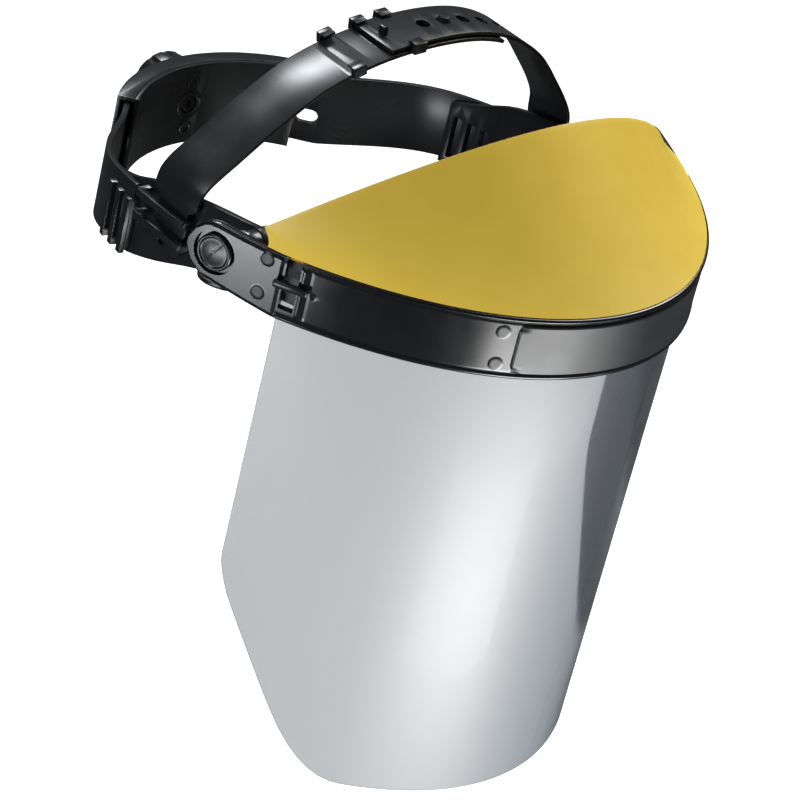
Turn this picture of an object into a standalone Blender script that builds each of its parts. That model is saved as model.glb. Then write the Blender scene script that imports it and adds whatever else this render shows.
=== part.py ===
"""Browguard face shield with a tilting clear window and a ratchet headband.

Metres, +Z up. The wearer faces -Y and their left is +X. The origin is the middle
of the axis that the visor tilts about, between the wearer's temples.
"""
import math
from bisect import bisect_right

import bmesh
import bpy
from mathutils import Matrix, Vector

FIT = 0.0003  # gap left between pieces that touch
SIDES = (("right", -1), ("left", 1))

# Visor frame: the black band that carries the window and the brow guard
PIVOT_HALF_WIDTH = 0.104
FRAME_DEPTH = 0.095  # from the tilt axis to the front of the band
FRAME_OVAL = 0.181  # front-to-back half axis of the oval that the band follows
FRAME_TOP = 0.0092
FRAME_BOTTOM = -0.0140
FRAME_WALL = 0.0030
LUG_RADIUS = 0.0107
LUG_BLEND = 0.024  # length over which the band becomes the lug
PANEL_HALF = 0.0435  # half length of the raised front panel
PANEL_RISE = 0.0008
PANEL_MARGIN = 0.0018
SLOT_FROM_PIVOT = 0.0287
SLOT_WIDTH = 0.0054
SLOT_HEIGHT = 0.0196

# Window
WINDOW_HALF = 0.125  # half length of the sheet along its curve
WINDOW_THICKNESS = 0.0012
WINDOW_TOP = 0.0084
WINDOW_BOTTOM = -0.190
WINDOW_SIDE_BOTTOM = -0.118
WINDOW_BOTTOM_HALF = 0.080
WINDOW_CORNER = 0.016

# Brow guard
BROW_THICKNESS = 0.0018
BROW_TIP_BACK = 0.0179  # along the band, from each lug's axis to the tip of its lower edge
BROW_ARCH_HALF = PIVOT_HALF_WIDTH - 0.0100
BROW_ARCH_BACK = 0.0326  # how far the apex lies in front of the arch's ends
BROW_ARCH_FOOT_Y = -0.0103
BROW_ARCH_RISE = 0.0394
BROW_ARCH_POWER = 1.93  # 2 would be a parabola
BROW_BULGE_UP = 0.36  # where the dome's slope is drawn to, as shares of its height
BROW_BULGE_IN = 0.52
BROW_EDGE_INSET = 0.0007
BROW_TIP_HEIGHT = 0.0043
SKIRT_BOTTOM = 0.0015

# Pivots
BUTTON_RADIUS = 0.0066
RECESS_RADIUS = 0.0079
RECESS_DEPTH = 0.0012
POST_RADIUS = 0.0030
HUB_RADIUS = 0.0052
BOSS_RADIUS = 0.0050
BOSS_FACE = PIVOT_HALF_WIDTH - 0.0180
FLANGE_FACE = PIVOT_HALF_WIDTH - 0.0128
WASHER_THICKNESS = 0.0008
HUB_OUTER = PIVOT_HALF_WIDTH - 0.0035
HUB_DEPTH = PIVOT_HALF_WIDTH - 0.0056

# Window catches
CATCH_LENGTH = 0.0124
CATCH_HEIGHT = 0.0028
CATCH_THICKNESS = 0.0022
CATCH_PIN_RADIUS = 0.0009

# Headband
BAND_HALF_WIDTH = 0.0865
BAND_CENTRE_Y = 0.045
BAND_FRONT = 0.117
BAND_REAR = 0.097
BAND_SHAPE = 2.4  # superellipse power of the front half
BAND_WALL = 0.0022
BAND_REAR_END = 0.0805  # y of the rear ends
SWEATBAND_THICKNESS = 0.0060
SWEATBAND_HALF = 0.100
LOOP_BAR_HEIGHTS = (-0.0100, -0.0185)
LOOP_BAR_SIZE = 0.0026
LOOP_FRONT_Y = 0.0307
LOOP_REAR_Y = 0.0560
BAND_TOPS = ((-0.080, 0.0090), (-0.030, 0.0062), (0.010, 0.0027), (0.030, -0.0002),
             (0.0536, -0.0055), (0.0680, -0.0115), (0.0830, -0.0165))  # y and height
BAND_LOWS = ((-0.080, -0.0150), (-0.030, -0.0165), (0.005, -0.0190), (0.026, -0.0248),
             (0.0450, -0.0325), (0.0640, -0.0392), (0.0750, -0.0412), (0.0830, -0.0400))
STOP_Y = 0.0092  # middle of the ledge under each lug
STOP_HALF_LENGTH = 0.0118
STOP_REACH = 0.0138
STOP_ROUND = 0.93  # how far the ledge's ends draw in
STOP_TOP = -0.0168
STOP_SLOPE = 0.10
STOP_THICKNESS = 0.0018
LADDER_BARS = 3
LADDER_SPACING = 0.0060

# Crown strap
STRAP_THICKNESS = 0.0013
STRAP_Y = 0.0398
STRAP_HALF_WIDTH = 0.0114
LAP_NARROWING = 0.0009  # the left half is this much narrower a side, to pass inside the guides
TONGUE_HALF_WIDTH = 0.0078
TONGUE_TIP_Z = -0.0270
SHOULDER_Z = -0.0065
SHOULDER_ROUND = 0.0040
STRAP_HOLE_SPACING = 0.0095
STRAP_HOLE_RADIUS = 0.0027
STUD_RADIUS = 0.0021
STUD_X = 0.0182
GUIDE_LENGTH = 0.0053
GUIDE_LIP = 0.0009
ARCH_POINTS = (  # the crown strap's middle line from the right side over the head, x and z
    (-0.0880, -0.0270), (-0.0880, -0.0140), (-0.0880, -0.0020), (-0.0850, 0.0045),
    (-0.0740, 0.0130), (-0.0580, 0.0245), (-0.0380, 0.0360), (-0.0120, 0.0432), (0.0180, 0.0452),
    (0.0412, 0.0416), (0.0605, 0.0317), (0.0752, 0.0165), (0.0840, 0.0052),
    (0.0860, -0.0010), (0.0862, -0.0120), (0.0862, -0.0270),
)

# Rear adjuster
REAR_CENTRE_Y = 0.0807  # centre of the housing's arc
HOUSING_INNER_RADIUS = 0.0568
HOUSING_OUTER_RADIUS = 0.0649
HOUSING_WALL = 0.0014
HOUSING_HALF_ANGLE = math.radians(44)
HOUSING_TOP = -0.0172
HOUSING_BOTTOM = -0.0502
REAR_STRAP_THICKNESS = 0.0020
REAR_STRAP_TOP = -0.0193
REAR_STRAP_BOTTOM = -0.0480
REAR_STRAP_FRONT_TOP = -0.0108
REAR_STRAP_FRONT_BOTTOM = -0.0366
REAR_STRAP_END_ANGLE = math.radians(37)
OVAL_HOLE_RADIUS = 0.0028
OVAL_HOLE_REACH = 0.0016
OVAL_HOLE_DISTANCE = 0.0124  # from the strap's rear end
OVAL_HOLE_Z = -0.0372
RIB_WIDTH = 0.0026
RIB_RISE = 0.0014
RIB_HEIGHT = 0.0216
RIB_Z = -0.0279
KNOB_Z = -0.0340
KNOB_RADIUS = 0.0132
KNOB_LENGTH = 0.0108
KNOB_GRIPS = 12
HUB_SHAFT_RADIUS = 0.0040
PINION_RADIUS = 0.0050
PINION_TEETH = 10
TOOTH_DEPTH = 0.0013
RACK_REACH = (math.radians(-13), math.radians(24))  # ends of a rack's arc past the middle
RACK_THICKNESS = 0.0024
SCREW_HEAD_RADIUS = 0.0031
SCREW_RADIUS = 0.0014

BLACK = (0.018, 0.019, 0.021, 1.0)
YELLOW = (0.86, 0.68, 0.06, 1.0)
CLEAR = (0.80, 0.83, 0.86, 1.0)
STEEL = (0.55, 0.56, 0.58, 1.0)
FOAM = (0.06, 0.06, 0.065, 1.0)

parts = None
cutters = None


class Route:
    """A flat line measured by its length, with offsets to its right-hand side."""

    def __init__(self, points):
        self.points = [Vector(p) for p in points]
        self.marks = [0.0]
        for a, b in zip(self.points, self.points[1:]):
            self.marks.append(self.marks[-1] + (b - a).length)
        self.length = self.marks[-1]

    def direction(self, distance):
        i = min(max(bisect_right(self.marks, distance) - 1, 0), len(self.points) - 2)
        return (self.points[i + 1] - self.points[i]).normalized()

    def at(self, distance, right=0.0):
        i = min(max(bisect_right(self.marks, distance) - 1, 0), len(self.points) - 2)
        share = (distance - self.marks[i]) / (self.marks[i + 1] - self.marks[i])
        point = self.points[i].lerp(self.points[i + 1], share)
        # the direction is blended between neighbours, so an offset line stays smooth
        here = self.direction(distance)
        near = self.points[max(i - 1, 0)], self.points[min(i + 2, len(self.points) - 1)]
        before = (self.points[i + 1] - near[0]).normalized()
        after = (near[1] - self.points[i]).normalized()
        way = before.lerp(after, share) if 0 < i < len(self.points) - 2 else here
        way.normalize()
        return point + Vector((way.y, -way.x)) * right

    def find(self, test):
        """The distance of the first point that passes a test."""
        return next(m for m, p in zip(self.marks, self.points) if test(p))


def smooth_line(points, steps=14):
    """A Catmull-Rom line through points."""
    ends = [points[0], *points, points[-1]]
    line = []
    for a, b, c, d in zip(ends, ends[1:], ends[2:], ends[3:]):
        a, b, c, d = Vector(a), Vector(b), Vector(c), Vector(d)
        for k in range(steps):
            t = k / steps
            line.append(0.5 * (2 * b + (c - a) * t + (2 * a - 5 * b + 4 * c - d) * t**2
                               + (3 * b - a - 3 * c + d) * t**3))
    line.append(Vector(points[-1]))
    return line


def spread(low, high, count):
    return [low + (high - low) * k / (count - 1) for k in range(count)]


# ---- routes ----

def frame_route():
    """The band's outer face from the right lug's rear end round the front to the left."""
    centre_y = FRAME_OVAL - FRAME_DEPTH
    half = PIVOT_HALF_WIDTH / math.sin(math.acos(centre_y / FRAME_OVAL))
    reach = math.radians(72)
    return Route([(half * math.sin(a), centre_y - FRAME_OVAL * math.cos(a))
                  for a in spread(-reach, reach, 361)])


def band_route():
    """The headband's outer face from its right rear end round the forehead to the left."""
    reach = math.pi / 2 + math.asin((BAND_REAR_END - BAND_CENTRE_Y) / BAND_REAR)
    points = []
    for a in spread(-reach, reach, 361):
        s, c = math.sin(a), math.cos(a)
        if c > 0:
            x = BAND_HALF_WIDTH * math.copysign(abs(s) ** (2 / BAND_SHAPE), s)
            y = BAND_CENTRE_Y - BAND_FRONT * c ** (2 / BAND_SHAPE)
        else:
            x, y = BAND_HALF_WIDTH * s, BAND_CENTRE_Y - BAND_REAR * c
        points.append((x, y))
    return Route(points)


FRAME = frame_route()
BAND = band_route()
ARCH = Route(smooth_line(ARCH_POINTS))
BAND_UPPER_EDGE = smooth_line(BAND_TOPS)
BAND_LOWER_EDGE = smooth_line(BAND_LOWS)
PIVOT_S = FRAME.length / 2 - FRAME.find(lambda p: p.y <= 0)  # band length from front to pivot


def on_frame(s, inset, z):
    """A point on the frame's band, s along it from the front, inset from its outer face."""
    p = FRAME.at(FRAME.length / 2 + s, -inset)
    return Vector((p.x, p.y, z))


def frame_axes(s):
    """Along, outward and up at s on the band."""
    way = FRAME.direction(FRAME.length / 2 + s)
    return Vector((way.x, way.y, 0)), Vector((way.y, -way.x, 0)), Vector((0, 0, 1))


# ---- building ----

def material(name, colour, roughness, metallic=0.0):
    made = bpy.data.materials.get(name) or bpy.data.materials.new(name)
    made.use_nodes = True
    shader = made.node_tree.nodes["Principled BSDF"]
    shader.inputs["Base Color"].default_value = colour
    shader.inputs["Roughness"].default_value = roughness
    shader.inputs["Metallic"].default_value = metallic
    made.diffuse_color = colour
    return made


def add(name, bm, look=None, home=None):
    mesh = bpy.data.meshes.new(name)
    bm.to_mesh(mesh)
    bm.free()
    obj = bpy.data.objects.new(name, mesh)
    (home or parts).objects.link(obj)
    if look:
        mesh.materials.append(look)
    mesh.shade_smooth()
    mesh.set_sharp_from_angle(angle=math.radians(35))
    return obj


def tool(name, bm):
    obj = add(name, bm, home=cutters)
    obj.hide_render = True
    obj.display_type = "WIRE"
    return obj


def combine(obj, operation, other):
    step = obj.modifiers.new(operation.title(), "BOOLEAN")
    step.operation = operation
    step.solver = "EXACT"
    step.object = other


def cut(obj, *others):
    for other in others:
        combine(obj, "DIFFERENCE", other)


def join(obj, *others):
    for other in others:
        combine(obj, "UNION", other)


def sheet(columns, rows, point):
    """A grid whose vertex at column i and row j lies at point(i, j)."""
    bm = bmesh.new()
    bmesh.ops.create_grid(bm, x_segments=columns - 1, y_segments=rows - 1, size=1)
    bm.verts.ensure_lookup_table()
    for k, vert in enumerate(bm.verts):
        vert.co = point(k % columns, k // columns)
    return bm


def thicken(obj, thickness):
    """Gives a sheet its wall, on the side away from its normals."""
    step = obj.modifiers.new("Wall", "SOLIDIFY")
    step.thickness = thickness
    step.offset = -1
    step.use_even_offset = True


def cylinder(start, end, radius, segments=32):
    start, end = Vector(start), Vector(end)
    bm = bmesh.new()
    turn = (end - start).to_track_quat("Z", "Y").to_matrix().to_4x4()
    place = Matrix.Translation((start + end) / 2) @ turn
    bmesh.ops.create_cone(bm, cap_ends=True, segments=segments, radius1=radius,
                          radius2=radius, depth=(end - start).length, matrix=place)
    return bm


def block(centre, size, axes=None):
    """A box whose sides lie along three axes, the world's unless given."""
    x, y, z = axes or (Vector((1, 0, 0)), Vector((0, 1, 0)), Vector((0, 0, 1)))
    turn = Matrix((x, y, z)).transposed().to_4x4()
    bm = bmesh.new()
    bmesh.ops.create_cube(bm, size=1, matrix=Matrix.Translation(centre) @ turn
                          @ Matrix.Diagonal((*size, 1)))
    if turn.determinant() < 0:
        bmesh.ops.reverse_faces(bm, faces=bm.faces)
    return bm


def solid_of(obj):
    """The evaluated mesh of an object, in world space, as a bmesh."""
    bpy.context.view_layer.update()
    seen = obj.evaluated_get(bpy.context.evaluated_depsgraph_get())
    bm = bmesh.new()
    bm.from_mesh(seen.to_mesh())
    bm.transform(obj.matrix_world)
    seen.to_mesh_clear()
    return bm


def mirrored(obj, name):
    """The other side's copy of a finished piece."""
    bm = solid_of(obj)
    bm.transform(Matrix.Diagonal((-1, 1, 1, 1)))
    bmesh.ops.reverse_faces(bm, faces=bm.faces)
    return add(name, bm, obj.data.materials[0])


def soften(obj, width, segments=2):
    step = obj.modifiers.new("Edges", "BEVEL")
    step.width = width
    step.segments = segments
    step.limit_method = "ANGLE"
    step.angle_limit = math.radians(40)


def hang(obj, axis):
    """Parents a piece to the empty on its joint's axis, where it lies."""
    obj.parent = axis
    obj.matrix_parent_inverse = Matrix.Translation(-axis.location)


def empty(name, place):
    made = bpy.data.objects.new(name, None)
    made.location = place
    made.empty_display_size = 0.02
    parts.objects.link(made)
    return made


# ---- visor ----

def lug_share(s):
    """0 on the plain band, 1 at the pivot."""
    return min(max((abs(s) - PIVOT_S + LUG_BLEND) / LUG_BLEND, 0), 1)


def frame_edges(s):
    """Bottom and top of the band at s."""
    past = abs(s) - PIVOT_S
    if past > 0:
        half = math.sqrt(max(LUG_RADIUS**2 - past**2, 0))
        return -half, half
    share = lug_share(s)
    low = FRAME_BOTTOM + (-LUG_RADIUS - FRAME_BOTTOM) * share
    return low, FRAME_TOP + (LUG_RADIUS - FRAME_TOP) * share


def frame_stations():
    """Where the band's columns stand: even along it, and round the lugs' ends."""
    plain = spread(-PIVOT_S, PIVOT_S, 61)
    turns = [LUG_RADIUS * math.sin(math.radians(a)) for a in (15, 30, 45, 58, 70, 79)]
    return [-PIVOT_S - t for t in reversed(turns)] + plain + [PIVOT_S + t for t in turns]


def make_frame():
    stations = frame_stations()
    bm = sheet(len(stations), 2, lambda i, j: on_frame(stations[i], 0, frame_edges(stations[i])[j]))
    frame = add("visor_frame", bm, material("black_frame", BLACK, 0.38))
    thicken(frame, FRAME_WALL)

    raised = spread(-PANEL_HALF, PANEL_HALF, 25)
    panel = tool("front_panel", sheet(len(raised), 2, lambda i, j: on_frame(
        raised[i], -PANEL_RISE,
        (FRAME_BOTTOM + PANEL_MARGIN, FRAME_TOP - PANEL_MARGIN)[j])))
    thicken(panel, PANEL_RISE + FRAME_WALL / 2)
    join(frame, panel)

    for side, sign in SIDES:
        hub_start = FLANGE_FACE + WASHER_THICKNESS + 2 * FIT
        join(frame, tool(f"hub_{side}", cylinder(
            (sign * hub_start, 0, 0), (sign * HUB_OUTER, 0, 0), HUB_RADIUS)))
        cut(frame, tool(f"hub_bore_{side}", cylinder(
            (sign * (hub_start - 0.002), 0, 0), (sign * HUB_DEPTH, 0, 0), POST_RADIUS + FIT)))
        along, out, up = frame_axes(sign * PIVOT_S)
        face = on_frame(sign * PIVOT_S, 0, 0)
        cut(frame, tool(f"recess_{side}", cylinder(
            face - out * RECESS_DEPTH, face + out * 0.004, RECESS_RADIUS, 40)))
        along, out, up = frame_axes(sign * (PIVOT_S - SLOT_FROM_PIVOT))
        middle = on_frame(sign * (PIVOT_S - SLOT_FROM_PIVOT), FRAME_WALL / 2, 0)
        cut(frame, tool(f"slot_{side}", block(
            middle, (SLOT_WIDTH, 4 * FRAME_WALL, SLOT_HEIGHT), (along, out, up))))
        cut(frame, tool(f"catch_hole_{side}", cylinder(
            catch_pin(sign) + catch_axes(sign)[1] * 0.004,
            catch_pin(sign) - catch_axes(sign)[1] * FRAME_WALL * 0.7, CATCH_PIN_RADIUS + FIT, 16)))
    return frame


def window_low(s):
    """Lower edge of the window's sheet at s: flat, then cut back up to its short sides."""
    s = abs(s)
    slope = (WINDOW_SIDE_BOTTOM - WINDOW_BOTTOM) / (WINDOW_HALF - WINDOW_BOTTOM_HALF)
    low = WINDOW_BOTTOM + max(0.0, s - WINDOW_BOTTOM_HALF) * slope
    # the corner between the flat and the cut is rounded by blending the two lines
    reach = WINDOW_CORNER
    if abs(s - WINDOW_BOTTOM_HALF) < reach:
        low = WINDOW_BOTTOM + slope * (s - WINDOW_BOTTOM_HALF + reach) ** 2 / (4 * reach)
    # the upper corner turns through a quarter circle into the side edge
    edge = WINDOW_CORNER * 0.45
    if s > WINDOW_HALF - edge:
        share = (s - WINDOW_HALF + edge) / edge
        low += edge * (1 - math.sqrt(max(1 - share**2, 0)))
    return low


def make_window():
    flat = spread(0, WINDOW_HALF - WINDOW_CORNER * 0.45, 27)
    turn = [WINDOW_HALF - WINDOW_CORNER * 0.45 * (1 - math.sin(math.radians(a)))
            for a in (18, 36, 54, 72, 90)]
    half = flat + turn
    stations = [-s for s in reversed(half[1:])] + half
    inset = FRAME_WALL + FIT
    window = add("visor_window", sheet(len(stations), 2, lambda i, j: on_frame(
        stations[i], inset, (window_low(stations[i]), WINDOW_TOP)[j])),
        material("clear_window", CLEAR, 0.05))
    thicken(window, WINDOW_THICKNESS)
    return window


def arch_point(share):
    """The brow guard's rear edge, from -1 at the right tip over the apex to 1."""
    across = math.sin(share * math.pi / 2)
    rise = 1 - abs(across) ** BROW_ARCH_POWER
    return Vector((BROW_ARCH_HALF * across, BROW_ARCH_FOOT_Y - BROW_ARCH_BACK * rise,
                   FRAME_TOP + BROW_TIP_HEIGHT + BROW_ARCH_RISE * rise))


def brow_point(share, row, rows):
    """Rows run from the hidden skirt inside the window up over the dome to the rear arch."""
    s = share * (PIVOT_S - BROW_TIP_BACK)
    skirt = FRAME_WALL + WINDOW_THICKNESS + 3 * FIT
    ledge = frame_edges(s)[1] + FIT
    if row == 0:
        return on_frame(s, skirt, SKIRT_BOTTOM)
    if row == 1:
        return on_frame(s, skirt, ledge)
    foot = on_frame(s, BROW_EDGE_INSET, ledge)
    top = arch_point(share)
    height = top.z - foot.z
    bulge = foot + frame_axes(s)[1] * -BROW_BULGE_IN * height
    bulge.z += BROW_BULGE_UP * height
    t = (row - 2) / (rows - 3)
    return foot * (1 - t) ** 2 + bulge * 2 * t * (1 - t) + top * t**2


def make_brow_guard():
    columns, rows = 41, 11
    brow = add("brow_guard", sheet(columns, rows, lambda i, j: brow_point(
        -1 + 2 * i / (columns - 1), j, rows)), material("yellow_guard", YELLOW, 0.28))
    thicken(brow, BROW_THICKNESS)
    return brow


def make_buttons():
    look = material("black_button", BLACK, 0.45)
    made = []
    for side, sign in SIDES:
        along, out, up = frame_axes(sign * PIVOT_S)
        face = on_frame(sign * PIVOT_S, 0, 0)
        floor = face - out * (RECESS_DEPTH - FIT)
        button = add(f"pivot_button_{side}", cylinder(floor, face + out * 0.0009,
                                                      BUTTON_RADIUS, 40), look)
        soften(button, 0.0006)
        slot_way = (up * 0.86 - along * sign * 0.5).normalized()
        across = out.cross(slot_way)
        cut(button, tool(f"coin_slot_{side}", block(
            face + out * 0.0009, (0.0006, 0.0008, BUTTON_RADIUS * 1.7), (across, out, slot_way))))
        made.append(button)
    return made


# ---- window catches ----

def catch_s(sign):
    """The catch's pin, in front of the slot."""
    return sign * (PIVOT_S - SLOT_FROM_PIVOT - SLOT_WIDTH / 2 - 0.0030)


def catch_axes(sign):
    return frame_axes(catch_s(sign))


def catch_pin(sign):
    return on_frame(catch_s(sign), 0, 0)


def make_catches():
    look = material("black_catch", BLACK, 0.35)
    made = []
    for side, sign in SIDES:
        along, out, up = catch_axes(sign)
        back = along * sign
        pin = catch_pin(sign)
        middle = pin + back * (CATCH_LENGTH / 2 - 0.0012) + out * (CATCH_THICKNESS / 2 + 2 * FIT)
        catch = add(f"window_catch_{side}", block(
            middle, (CATCH_LENGTH, CATCH_THICKNESS, CATCH_HEIGHT), (along, out, up)), look)
        soften(catch, 0.0008)
        join(catch, tool(f"catch_pin_{side}", cylinder(
            pin - out * FRAME_WALL * 0.6, pin + out * 0.0015, CATCH_PIN_RADIUS, 16)))
        hang(catch, empty(f"catch_axis_{side}", pin))
        made.append(catch)
    return made


# ---- headband ----

def level(line, y):
    """The height at y of a line drawn through marks of y and height."""
    for low, high in zip(line, line[1:]):
        if y <= high.x:
            share = min(max((y - low.x) / (high.x - low.x), 0), 1)
            return low.y + (high.y - low.y) * share
    return line[-1].y


def band_edges(y):
    """Bottom and top of the headband where it passes y."""
    return level(BAND_LOWER_EDGE, y), level(BAND_UPPER_EDGE, y)


def on_band(distance, outward, z):
    p = BAND.at(distance, outward)
    return Vector((p.x, p.y, z))


def make_headband():
    stations = spread(0, BAND.length, 89)
    band = add("headband", sheet(len(stations), 2, lambda i, j: on_band(
        stations[i], 0, band_edges(BAND.at(stations[i]).y)[j])), material("black_band", BLACK, 0.42))
    thicken(band, BAND_WALL)
    bar_out = STRAP_THICKNESS + 4 * FIT  # room under the loops for the strap's tongue
    face = BAND_HALF_WIDTH + 2 * FIT
    for side, sign in SIDES:
        join(band, tool(f"boss_{side}", cylinder(
            (sign * (BAND_HALF_WIDTH - 0.0060), 0, 0), (sign * BOSS_FACE, 0, 0), BOSS_RADIUS)))
        length = LOOP_REAR_Y - LOOP_FRONT_Y
        middle = (LOOP_REAR_Y + LOOP_FRONT_Y) / 2
        for number, z in enumerate(LOOP_BAR_HEIGHTS):
            outer = face + bar_out + LOOP_BAR_SIZE / 2
            join(band, tool(f"loop_bar_{side}_{number}", block(
                Vector((sign * outer, middle, z)), (LOOP_BAR_SIZE * 0.7, length, LOOP_BAR_SIZE))))
            for end, y in (("front", LOOP_FRONT_Y), ("rear", LOOP_REAR_Y)):
                join(band, tool(f"loop_leg_{side}_{number}_{end}", block(
                    Vector((sign * (outer + BAND_HALF_WIDTH - 0.0012) / 2, y, z)),
                    (outer - BAND_HALF_WIDTH + 0.0012, 0.0024, LOOP_BAR_SIZE - 0.0002))))
        ladder = Vector((sign * BAND_HALF_WIDTH, 0.0695, -0.0292))
        for number in range(LADDER_BARS):
            y = ladder.y + (number - 1) * LADDER_SPACING
            cut(band, tool(f"ladder_gap_{side}_{number}", block(
                Vector((ladder.x, y, ladder.z)), (0.020, LADDER_SPACING - 0.0022, 0.0170))))
        join(band, tool(f"down_stop_{side}", down_stop(sign)))
    return band


def down_stop(sign):
    """The curved ledge under the lug that the lowered visor rests near."""
    turns = spread(-1, 1, 11)
    inner = BAND_HALF_WIDTH - 0.0035

    def place(i, j):
        bow = math.sqrt(1 - STOP_ROUND * turns[i] ** 2)
        y = STOP_Y + STOP_HALF_LENGTH * turns[i]
        x = (inner + STOP_REACH * bow, inner)[j]
        return Vector((x, y, STOP_TOP - STOP_SLOPE * (y - STOP_Y) - 0.0004 * turns[i] ** 2))

    ledge = tool("down_stop", sheet(len(turns), 2, place))
    thicken(ledge, STOP_THICKNESS)
    bm = solid_of(ledge)
    if sign < 0:
        bm.transform(Matrix.Diagonal((-1, 1, 1, 1)))
        bmesh.ops.reverse_faces(bm, faces=bm.faces)
    return bm


def make_sweatband():
    half = BAND.length / 2
    stations = spread(half - SWEATBAND_HALF, half + SWEATBAND_HALF, 41)
    inside = BAND_WALL + FIT

    def place(i, j):
        low, high = band_edges(BAND.at(stations[i]).y)
        return on_band(stations[i], -inside, (low - 0.001, high + 0.001)[j])

    pad = add("sweatband", sheet(len(stations), 2, place), material("foam", FOAM, 0.9))
    thicken(pad, SWEATBAND_THICKNESS)
    return pad


def make_pivots():
    made = []
    for side, sign in SIDES:
        start = BOSS_FACE + FIT
        post = add(f"pivot_post_{side}", cylinder((sign * start, 0, 0), (sign * FLANGE_FACE, 0, 0),
                                                  BOSS_RADIUS - FIT), material("black_post", BLACK, 0.4))
        join(post, tool(f"post_pin_{side}", cylinder(
            (sign * (FLANGE_FACE - 0.001), 0, 0), (sign * (HUB_DEPTH - 2 * FIT), 0, 0), POST_RADIUS)))
        washer = add(f"friction_washer_{side}", cylinder(
            (sign * (FLANGE_FACE + FIT), 0, 0), (sign * (FLANGE_FACE + FIT + WASHER_THICKNESS), 0, 0),
            HUB_RADIUS), material("washer", STEEL, 0.5))
        cut(washer, tool(f"washer_bore_{side}", cylinder(
            (sign * FLANGE_FACE, 0, 0), (sign * (FLANGE_FACE + 0.003), 0, 0), POST_RADIUS + FIT)))
        made += [post, washer]
    return made


# ---- crown strap ----

def strap_half_width(z, full):
    """Half width of a crown strap half at height z: a round tongue, shoulders, then full."""
    if z > SHOULDER_Z + SHOULDER_ROUND:
        return full
    if z > SHOULDER_Z:
        share = (z - SHOULDER_Z) / SHOULDER_ROUND
        return TONGUE_HALF_WIDTH + (full - TONGUE_HALF_WIDTH) * math.sqrt(share * (2 - share))
    over = z - TONGUE_TIP_Z
    if over < TONGUE_HALF_WIDTH:
        return math.sqrt(max(TONGUE_HALF_WIDTH**2 - (TONGUE_HALF_WIDTH - over) ** 2, 1e-6))
    return TONGUE_HALF_WIDTH


def make_crown_half(name, start, end, outward, full):
    """A strip along the arch, its outer face outward from the arch's middle line."""
    steps = max(int((end - start) / 0.0020), 8)
    stations = spread(start, end, steps)

    def place(i, j):
        p = ARCH.at(stations[i], -outward)
        half = strap_half_width(p.y, full)
        y = STRAP_Y + half * (-1, 1)[j]
        return Vector((p.x, y, p.y))

    strap = add(name, sheet(len(stations), 2, place), material("black_strap", BLACK, 0.34))
    thicken(strap, STRAP_THICKNESS)
    return strap


def arch_frame(distance):
    way = ARCH.direction(distance)
    return Vector((way.x, 0, way.y)), Vector((-way.y, 0, way.x)), Vector((0, 1, 0))


def arch_at(x, height=0.0):
    distance = ARCH.find(lambda p: p.x >= x and p.y > 0)
    p = ARCH.at(distance, -height)
    return distance, Vector((p.x, STRAP_Y, p.y))


def make_crown_straps():
    half = STRAP_THICKNESS / 2
    lap = STRAP_THICKNESS + 2 * FIT
    near_end = ARCH.find(lambda p: p.x >= 0.041)
    near = make_crown_half("crown_strap_right", 0.0, near_end, half, STRAP_HALF_WIDTH)
    far_start = ARCH.find(lambda p: p.x >= -0.0125 and p.y > 0)
    far = make_crown_half("crown_strap_left", far_start, ARCH.length, half + lap,
                          STRAP_HALF_WIDTH - LAP_NARROWING)

    distance, foot = arch_at(STUD_X)
    way, out, across = arch_frame(distance)
    join(near, tool("stud", cylinder(foot, foot + out * (half + lap + 0.0016), STUD_RADIUS, 24)))
    for number in range(-1, 5):
        hole = ARCH.at(distance + number * STRAP_HOLE_SPACING)
        way, out, across = arch_frame(distance + number * STRAP_HOLE_SPACING)
        middle = Vector((hole.x, STRAP_Y, hole.y)) + out * lap
        cut(far, tool(f"strap_hole_{number + 1}", cylinder(
            middle - out * 0.003, middle + out * 0.003, STRAP_HOLE_RADIUS, 24)))
    tongue_hole = Vector((-BAND_HALF_WIDTH, STRAP_Y + 0.003, -0.0225))
    for obj, sign in ((near, 1), (far, -1)):
        spot = Vector((sign * tongue_hole.x, tongue_hole.y, tongue_hole.z))
        cut(obj, tool(f"tongue_hole_{obj.name}", cylinder(
            spot - Vector((0.006, 0, 0)), spot + Vector((0.006, 0, 0)), 0.0016, 20)))
    for number, (x, side) in enumerate(((-0.0248, 1), (-0.0115, 1), (0.0008, 1), (-0.0284, -1),
                                        (-0.0015, -1))):
        add_guide(near, number, x, side, lap)
    distance = far_start + 0.0025
    way, out, across = arch_frame(distance)
    tab = arch_at(ARCH.at(distance).x, half + lap)[1]
    join(far, tool("finger_tab", block(tab + out * 0.0015, (0.0018, 0.0040, 0.0030),
                                       (way, out, across))))
    return [near, far]


def add_guide(strap, number, x, side, lap):
    """A hook on the strap's edge that keeps the other half from lifting."""
    distance, foot = arch_at(x)
    way, out, across = arch_frame(distance)
    low = -STRAP_THICKNESS / 2 + FIT
    top = STRAP_THICKNESS / 2 + lap + FIT + GUIDE_LIP
    wall = foot + across * side * (STRAP_HALF_WIDTH + 0.0006) + out * (low + top) / 2
    join(strap, tool(f"guide_wall_{number}", block(
        wall, (GUIDE_LENGTH, top - low, 0.0022), (way, out, across))))
    lip = foot + across * side * (STRAP_HALF_WIDTH - 0.0004) + out * (top - GUIDE_LIP / 2 - 0.0001)
    join(strap, tool(f"guide_lip_{number}", block(
        lip, (GUIDE_LENGTH - 0.0004, GUIDE_LIP, 0.0044), (way, out, across))))


# ---- rear adjuster ----

def on_rear(angle, radius, z):
    """A point on the housing's arc; positive angles lie on the left."""
    return Vector((radius * math.sin(angle), REAR_CENTRE_Y + radius * math.cos(angle), z))


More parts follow.
